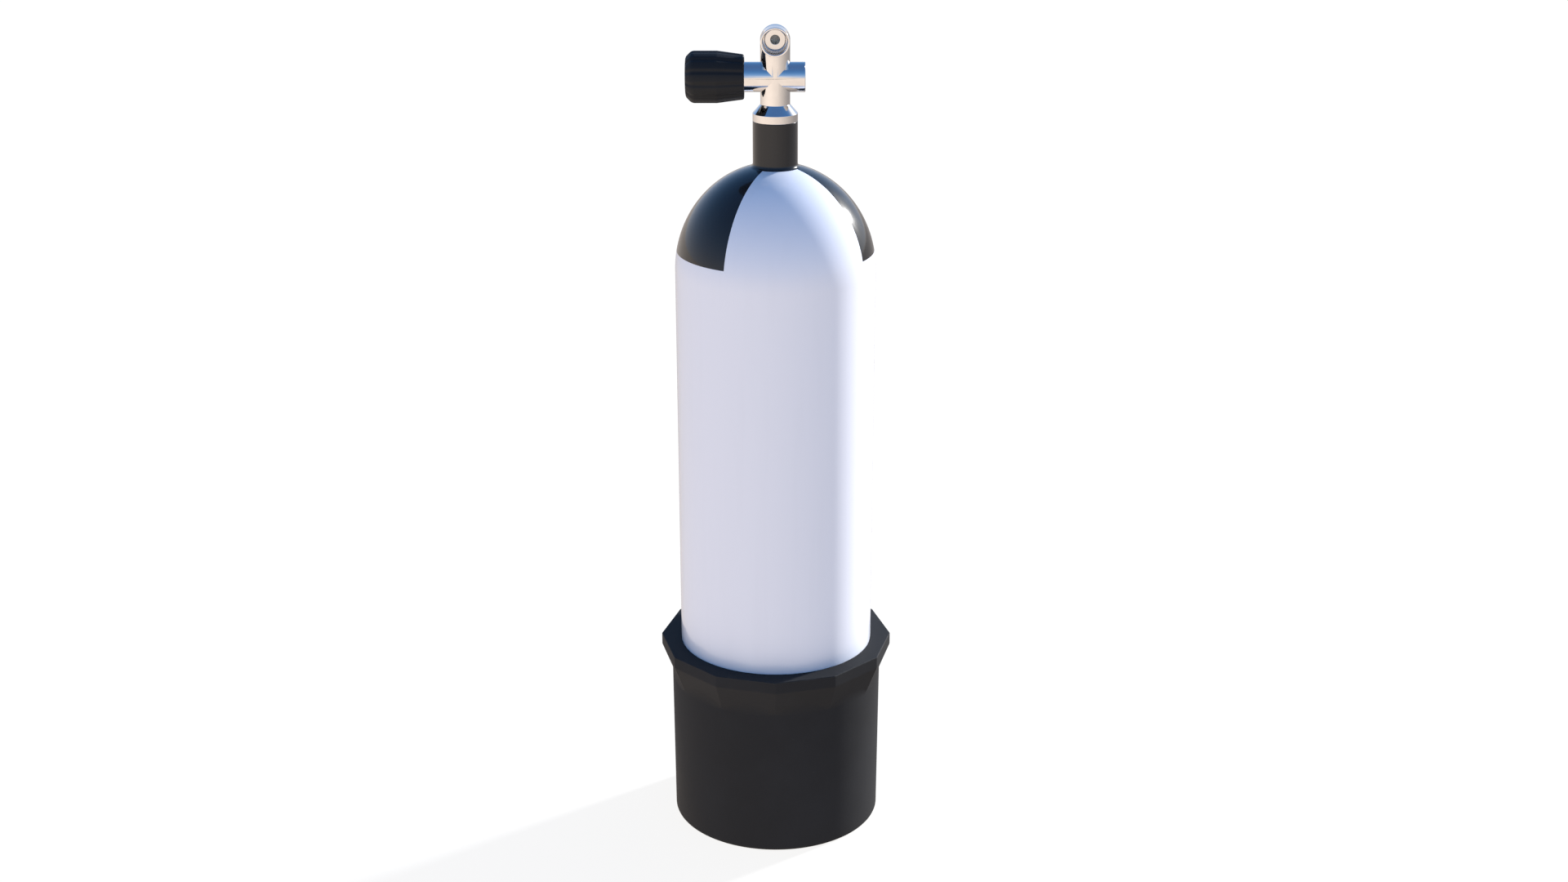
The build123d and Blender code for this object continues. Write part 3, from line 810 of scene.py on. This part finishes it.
post_outline = rounded([
    (8.0, SPIGOT_END_Z),
    (SPIGOT_R, SPIGOT_END_Z, 0.5),
    (SPIGOT_R, NECK_TOP_Z),
    (COLLAR_R, NECK_TOP_Z, 0.35),
    (COLLAR_R, COLLAR_TOP_Z, 0.5),
    (POST_R, CONE_TOP_Z, 0.6),
    (POST_R, OUTLET_Z - 8.0),
])
for step in range(90 // BALL_STEP):
    angle = math.radians(BALL_STEP * step)
    ball_r, ball_z = POST_R * math.cos(angle), OUTLET_Z + POST_R * math.sin(angle)
    post_outline.append(Vector((ball_r, ball_z)) * MM)
valve = turned("valve_skin", post_outline, sides=VALVE_SIDES)

arm_outline = rounded([
    (6.0, ARM_KNOB_X),
    (POST_R, ARM_KNOB_X, 0.5),
    (POST_R, ARM_PLUG_X, 0.6),
    (6.0, ARM_PLUG_X),
])
arm = turned("arm", arm_outline, sides=VALVE_SIDES)
place(arm, turn=(0, 90, 0), move=(0, 0, ARM_Z * MM))
combine(valve, arm, "UNION")

outlet_outline = rounded([
    (6.0, 1.0),
    (OUTLET_R, 1.0),
    (OUTLET_R, OUTLET_REACH, 0.5),
    (6.0, OUTLET_REACH),
])
outlet = turned("outlet", outlet_outline, sides=VALVE_SIDES)
place(outlet, turn=(90, 0, 0), move=(0, 0, OUTLET_Z * MM))
combine(valve, outlet, "UNION")
report(valve)

# %% [markdown]
# The outlet takes a threaded regulator connector, whose seal sits on a raised land at the
# bottom. The socket is one turned tool with the land, the relief groove round it, the thread's
# grooves and a lead-in at the mouth. True threads climb as a helix, but at this size rings read
# the same and keep the mesh clean.

# %% Valve: socket and bores
SOCKET_R = 10.3
LAND_R = 8.9
LAND_DEPTH = 2.4
RELIEF_R = 10.8
RELIEF_END = 1.4
HOLE_R = 3.9
HOLE_END = -6.0
THREAD_PITCH = 1.814
THREAD_DEPTH = 0.3
PLUG_R = 8.0
PLUG_FLANGE_R = 10.0
PLUG_FLANGE = 2.5
PLUG_LENGTH = 13.0
PLUG_GAP = 0.05
BONNET_BORE_R = 8.0
BONNET_BORE_END_X = -19.0

socket_corners = [
    (HOLE_R, HOLE_END),
    (HOLE_R, LAND_DEPTH, 0.35),
    (LAND_R, LAND_DEPTH, 0.7),
    (LAND_R, RELIEF_END, 0.15),
    (RELIEF_R, RELIEF_END, 0.25),
    (RELIEF_R, LAND_DEPTH + 0.9),
]
groove_start = LAND_DEPTH + 1.5
while groove_start + THREAD_PITCH < OUTLET_REACH - 1.2:
    socket_corners += [
        (SOCKET_R, groove_start),
        (SOCKET_R, groove_start + THREAD_PITCH * 0.2),
        (SOCKET_R + THREAD_DEPTH, groove_start + THREAD_PITCH * 0.55),
        (SOCKET_R + THREAD_DEPTH, groove_start + THREAD_PITCH * 0.65),
    ]
    groove_start += THREAD_PITCH
socket_corners += [
    (SOCKET_R, groove_start),
    (SOCKET_R, OUTLET_REACH - 0.5),
    (SOCKET_R + 0.5, OUTLET_REACH),
    (SOCKET_R + 0.5, OUTLET_REACH + 2),
]
socket = turned("socket", rounded(socket_corners, steps=3, guard=0.05 * MM), sides=VALVE_SIDES)
place(socket, turn=(90, 0, 0), move=(0, 0, OUTLET_Z * MM))
combine(valve, socket, "DIFFERENCE")

plug_bore_outline = in_metres([
    (PLUG_R + PLUG_GAP, ARM_PLUG_X - PLUG_LENGTH - 1),
    (PLUG_R + PLUG_GAP, ARM_PLUG_X - PLUG_FLANGE),
    (PLUG_FLANGE_R + PLUG_GAP, ARM_PLUG_X - PLUG_FLANGE),
    (PLUG_FLANGE_R + PLUG_GAP, ARM_PLUG_X - 0.35),
    (PLUG_FLANGE_R + 0.4, ARM_PLUG_X),
    (PLUG_FLANGE_R + 0.4, ARM_PLUG_X + 2),
])
plug_bore = turned("plug_bore", plug_bore_outline, sides=VALVE_SIDES)
place(plug_bore, turn=(0, 90, 0), move=(0, 0, ARM_Z * MM))
combine(valve, plug_bore, "DIFFERENCE")

bonnet_bore_outline = in_metres([
    (BONNET_BORE_R, ARM_KNOB_X - 2),
    (BONNET_BORE_R, BONNET_BORE_END_X),
])
bonnet_bore = turned("bonnet_bore", bonnet_bore_outline, sides=VALVE_SIDES)
place(bonnet_bore, turn=(0, 90, 0), move=(0, 0, ARM_Z * MM))
combine(valve, bonnet_bore, "DIFFERENCE")
smooth(valve, 14)
coat(valve, chrome, dull_metal)


def in_hole(face):
    """True inside the gas hole, where the plating is thin and dull."""
    middle = face.center / MM
    return math.hypot(middle.x, middle.z - OUTLET_Z) < HOLE_R + 0.1 and middle.y > -LAND_DEPTH + 0.1


paint(valve, in_hole)
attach(valve, "tank")
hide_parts("valve_body")
report(valve)

# %% [markdown]
# ## The blanking plug
# The other end of the arm is bored so that a second outlet can be fitted, and a plug closes it.
# Its flange lies flush with the arm, and a six-sided key turns it. The key's socket is a
# cylinder with six sides, widened a little at its mouth.

# %% Blanking plug
KEY_FLATS = 8.0
KEY_DEPTH = 5.0
KEY_CHAMFER = 0.4
plug = turned(
    "plug_skin",
    rounded([
        (3.0, ARM_PLUG_X - PLUG_LENGTH),
        (PLUG_R, ARM_PLUG_X - PLUG_LENGTH, 0.5),
        (PLUG_R, ARM_PLUG_X - PLUG_FLANGE),
        (PLUG_FLANGE_R, ARM_PLUG_X - PLUG_FLANGE, 0.2),
        (PLUG_FLANGE_R, ARM_PLUG_X, 0.45),
        (6.0, ARM_PLUG_X),
    ]),
    sides=96,
)
place(plug, turn=(0, 90, 0), move=(0, 0, ARM_Z * MM))
key_corner = KEY_FLATS / 2 / math.cos(math.radians(30))
key_outline = in_metres([
    (key_corner, ARM_PLUG_X - KEY_DEPTH),
    (key_corner, ARM_PLUG_X - KEY_CHAMFER),
    (key_corner + KEY_CHAMFER, ARM_PLUG_X),
    (key_corner + KEY_CHAMFER, ARM_PLUG_X + 2),
])
key_tool = turned("key_tool", key_outline, sides=6)
place(key_tool, turn=(0, 90, 0), move=(0, 0, ARM_Z * MM))
combine(plug, key_tool, "DIFFERENCE")
smooth(plug, 25)
coat(plug, chrome)
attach(plug, "tank")
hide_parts("blanking_plug")
report(plug)

# %% [markdown]
# ## The knob's grip
# Cold hands in wet gloves have to turn this, so the hub wears a thick rubber sleeve with twelve
# soft lobes. The sleeve is turned with twelve columns of vertices to each lobe. The valleys are
# pressed in afterwards: the columns at a valley's middle are scaled towards the axis by the full
# depth and their neighbours by less, and a subdivision surface rounds the result like rubber.

# %% Grip: turned sleeve
KNOB_INNER = 25.6
KNOB_OUTER = 74.2
KNOB_R = 21.4
KNOB_INNER_R = 18.4
KNOB_TAPER = 48.0
KNOB_CHAMFER = 5.2
HUB_R = 16.0
HUB_INNER = 28.0
HUB_OUTER = 72.0
HUB_CAVITY_R = 13.4
RECESS_R = 10.0
LOBES = 12
COLUMNS = 12
FLUTE_R = 3.2
FLUTE_DEPTH = 0.9
VALLEY_ANGLE = 21.0

grip_outline = rounded([
    (HUB_CAVITY_R, KNOB_INNER, 0.5),
    (KNOB_INNER_R, KNOB_INNER, 1.8),
    (19.2, 31.6),
    (20.2, 39.0),
    (KNOB_R, KNOB_TAPER, 3.0),
    (KNOB_R, 54.0),
    (KNOB_R, 61.0),
    (KNOB_R, KNOB_OUTER - KNOB_CHAMFER, 5.5),
    (KNOB_R - KNOB_CHAMFER, KNOB_OUTER, 4.5),
    (RECESS_R, KNOB_OUTER, 0.8),
    (RECESS_R, HUB_OUTER),
    (HUB_R, HUB_OUTER),
    (HUB_R, HUB_INNER),
    (HUB_CAVITY_R, HUB_INNER),
], steps=4, guard=0.25 * MM)
grip = turned("grip_skin", grip_outline, sides=LOBES * COLUMNS, closed=True)
report(grip)

# %% [markdown]
# The valleys in the mould were cut with a round cutter, so the depth of each column follows
# from a circle. At the outer end they also press the rounded edge down a little, as they would
# in a real mould. Only the rings outside the hub are pressed.

# %% Grip: press in the valleys
def valley_depth(offset):
    """How deep the valley is at an angle from its middle, from the round cutter that made it."""
    centre = KNOB_R + FLUTE_R - FLUTE_DEPTH
    across = centre * math.sin(offset)
    if abs(across) >= FLUTE_R:
        return 0.0
    return KNOB_R - centre * math.cos(offset) + math.sqrt(FLUTE_R ** 2 - across ** 2)


column_angle = math.radians(360 / (LOBES * COLUMNS))
pressed = 0
for point in grip_outline:
    ring_r, ring_z = point / MM
    if ring_r <= HUB_R:
        continue
    end_share = max(0.0, min(1.0, (ring_z - KNOB_OUTER + KNOB_CHAMFER) / KNOB_CHAMFER))
    for offset in range(3):
        depth = valley_depth(offset * column_angle)
        if depth <= 0:
            continue

        def in_valley(vertex):
            column = round(math.atan2(vertex.co.y, vertex.co.x) / column_angle) % COLUMNS
            on_ring = abs(math.hypot(vertex.co.x, vertex.co.y) - ring_r * MM) < 0.001 * MM
            level = abs(vertex.co.z - ring_z * MM) < 0.001 * MM
            return on_ring and level and min(column, COLUMNS - column) == offset

        pick(grip, "VERT", in_valley)
        scale = (ring_r - depth) / ring_r
        bpy.ops.transform.resize(value=(scale, scale, 1), center_override=(0, 0, ring_z * MM))
        bpy.ops.transform.translate(value=(0, 0, -0.6 * depth * end_share * MM))
        pressed += 1
bpy.ops.object.mode_set(mode="OBJECT")
apply_modifier(grip, "SUBSURF", levels=1, render_levels=1)
place(grip, turn=(0, 0, VALLEY_ANGLE))
place(grip, turn=(0, -90, 0), move=(0, 0, ARM_Z * MM))
smooth(grip, 40)
coat(grip, grip_rubber)
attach(grip, "knob")
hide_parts("knob_grip")
print("columns pressed:", pressed)
report(grip)

# %% [markdown]
# ## The knob's spring
# A spring behind the knob lets it give a little when it is knocked. A Screw modifier winds a
# small circle round the axis while it moves along it, which is just how wire is coiled. The coil
# shortens when the knob is pulled, but here it is only hung on the spindle.

# %% Spring
SPRING_START = 54.05
SPRING_END = 63.95
SPRING_MEAN_R = 5.6
WIRE_R = 0.6
SPRING_TURNS = 4.5

nothing_selected()
bpy.ops.mesh.primitive_circle_add(
    vertices=12,
    radius=WIRE_R * MM,
    location=(SPRING_MEAN_R * MM, 0, (SPRING_START + WIRE_R) * MM),
    rotation=(math.radians(90), 0, 0),
)
spring = bpy.context.active_object
spring.name = spring.data.name = "spring_skin"
bpy.ops.object.transform_apply(location=True, rotation=True)
apply_modifier(
    spring,
    "SCREW",
    axis="Z",
    angle=math.radians(360 * SPRING_TURNS),
    screw_offset=(SPRING_END - SPRING_START - 2 * WIRE_R) * MM,
    steps=200,
    render_steps=200,
    use_normal_calculate=True,
)
bpy.ops.object.mode_set(mode="EDIT")
bpy.ops.mesh.select_all(action="SELECT")
bpy.ops.mesh.fill_holes(sides=0)
bpy.ops.mesh.select_all(action="SELECT")
bpy.ops.mesh.normals_make_consistent(inside=False)
bpy.ops.object.mode_set(mode="OBJECT")
place(spring, turn=(0, -90, 0), move=(0, 0, ARM_Z * MM))
smooth(spring, 40)
coat(spring, steel)
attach(spring, "spindle")
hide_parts("knob_spring")
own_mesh(spring)
report(spring)

# %% [markdown]
# ## The parts that keep their own shape
# Washers, nuts, spindles and seals are plain turned parts whose shapes are already right. They
# keep their meshes and get a finish by their slot's name.

# %% Finishes for the small parts
def plastic(name, colour, roughness):
    """Moulded nylon with a faint grain."""
    material, tree, shader = new_material(name, Specular_IOR_Level=0.4)
    skin_grain = use_group(tree, grain, Scale=1400.0, Coarse=0.6)
    mark = use_group(tree, marks, Scale=40.0)
    haze = math_node(tree, "MULTIPLY", mark.outputs["Blotches"], 0.5)
    base = mix_colours(tree, haze, colour, shaded(colour, 0.8))
    tree.links.new(base, shader.inputs["Base Color"])
    dull = math_node(tree, "MULTIPLY_ADD", mark.outputs["Blotches"], 0.12, roughness)
    tree.links.new(dull, shader.inputs["Roughness"])
    tree.links.new(bump(tree, skin_grain.outputs["Height"], 0.3, 0.03 * MM), shader.inputs["Normal"])
    return material


finishes = {
    "valve_chrome": chrome,
    "brass": brass,
    "spring_steel": steel,
    "seal_rubber": seal_rubber,
    "knob_rubber": grip_rubber,
    "boot_rubber": boot_rubber,
    "shell_paint": white_enamel,
    "knob_plastic": plastic("black_nylon", (0.022, 0.022, 0.024, 1), 0.38),
    "seat_plastic": plastic("pale_nylon", (0.80, 0.78, 0.72, 1), 0.45),
}
for subpart in frame["record"]["subparts"]:
    part = nodes[subpart["node"]]
    if part.hide_render:
        continue
    for material_slot in part.material_slots:
        material_slot.material = finishes[subpart["material_slot"]]
    print(subpart["node"], "->", finishes[subpart["material_slot"]].name)

# %% [markdown]
# ## Floor and light
# The tank stands outdoors on warm pale ground under a clear sky, with the sun low behind its
# right side. So the front is lit by the sky and the ground alone and the right edge burns out.
# The ground glows a little by itself, more on the left, so that what it throws back at the tank
# can be set apart from how white it looks to the camera.

# %% Floor
GROUND_MEAN = 0.73
GROUND_SWING = 0.44
GROUND_TINT = (1.0, 0.84, 0.69)
GROUND_SEEN = (0.91, 0.895, 0.87, 1)

nothing_selected()
bpy.ops.mesh.primitive_plane_add(size=40, location=(0, 0, -0.2 * MM))
floor = bpy.context.active_object
floor.name = "floor"
floor_paint, floor_tree, floor_shader = new_material("floor_paint", Roughness=0.9)
floor_shader.inputs["Base Color"].default_value = (0.12, 0.12, 0.12, 1)
floor_shader.inputs["Specular IOR Level"].default_value = 0.0
outward = add_node(
    floor_tree, "ShaderNodeVectorMath", {0: object_place(floor_tree)}, operation="NORMALIZE"
).outputs[0]
leftward = dot(floor_tree, outward, (-0.707, -0.707, 0))
glow = math_node(floor_tree, "MULTIPLY_ADD", leftward, GROUND_SWING, GROUND_MEAN)
warm = add_node(
    floor_tree, "ShaderNodeVectorMath", {0: GROUND_TINT, "Scale": glow}, operation="SCALE"
).outputs[0]
seen = add_node(floor_tree, "ShaderNodeLightPath").outputs["Is Camera Ray"]
ground_light = mix_colours(floor_tree, seen, warm, GROUND_SEEN)
floor_tree.links.new(ground_light, floor_shader.inputs["Emission Color"])
floor_shader.inputs["Emission Strength"].default_value = 1.0
floor.data.materials.append(floor_paint)
print("floor:", floor.name)

# %% [markdown]
# A clear sky is darkest straight up and pales down to the horizon, and it is brightest round
# the sun. Both are worked out from the direction of a ray: its height picks a colour from a
# ramp, and its angle to the sun gives the glare. Rays that come straight from the camera see
# plain white instead.

# %% Sky
KEY_AZIMUTH = 126.0
KEY_HEIGHT = 21.0
GLARE_POWER = 30.0
GLARE = (2.6, 2.5, 2.3, 1)
BELOW_HORIZON = (1.0, 0.84, 0.68, 1)

azimuth = math.radians(KEY_AZIMUTH)
height = math.radians(KEY_HEIGHT)
level = math.cos(height)
to_sun = (math.sin(azimuth) * level, -math.cos(azimuth) * level, math.sin(height))
world = bpy.data.worlds.new("clear_sky")
bpy.context.scene.world = world
world.use_nodes = True
sky = world.node_tree
ray = add_node(sky, "ShaderNodeTexCoord").outputs["Generated"]
up = add_node(sky, "ShaderNodeSeparateXYZ", {0: ray}).outputs["Z"]
ramp = add_node(sky, "ShaderNodeValToRGB", {0: up})
sky_steps = [
    (0.0, (0.78, 0.83, 0.94, 1)),
    (0.21, (0.45, 0.62, 0.92, 1)),
    (0.41, (0.23, 0.44, 0.80, 1)),
    (0.60, (0.12, 0.30, 0.64, 1)),
    (0.80, (0.08, 0.22, 0.52, 1)),
    (1.0, (0.08, 0.18, 0.42, 1)),
]
for sine, shade in sky_steps[1:-1]:
    ramp.color_ramp.elements.new(sine)
for element, (sine, shade) in zip(ramp.color_ramp.elements, sky_steps):
    element.position = sine
    element.color = shade
colour = ramp.outputs["Color"]
sunward = math_node(sky, "MAXIMUM", dot(sky, ray, to_sun), 0.0)
glare = math_node(sky, "POWER", sunward, GLARE_POWER)
colour = mix_colours(sky, glare, colour, GLARE)
colour = mix_colours(sky, spread(sky, up, -0.02, 0.0), BELOW_HORIZON, colour)
seen = add_node(sky, "ShaderNodeLightPath").outputs["Is Camera Ray"]
colour = mix_colours(sky, seen, colour, (1, 1, 1, 1))
sky.links.new(colour, sky.nodes["Background"].inputs["Color"])
sky.nodes["Background"].inputs["Strength"].default_value = 1.0
print("sky:", world.name)

# %% [markdown]
# The sun itself is a lamp. It is a few degrees wide, so that its shadows have soft edges.

# %% Key lamp
KEY_ENERGY = 6.8
KEY_WIDTH = 4

bpy.ops.object.light_add(type="SUN", rotation=(math.pi / 2 - height, 0, azimuth))
key = bpy.context.active_object
key.data.energy = KEY_ENERGY
key.data.angle = math.radians(KEY_WIDTH)
print("key lamp:", key.name)
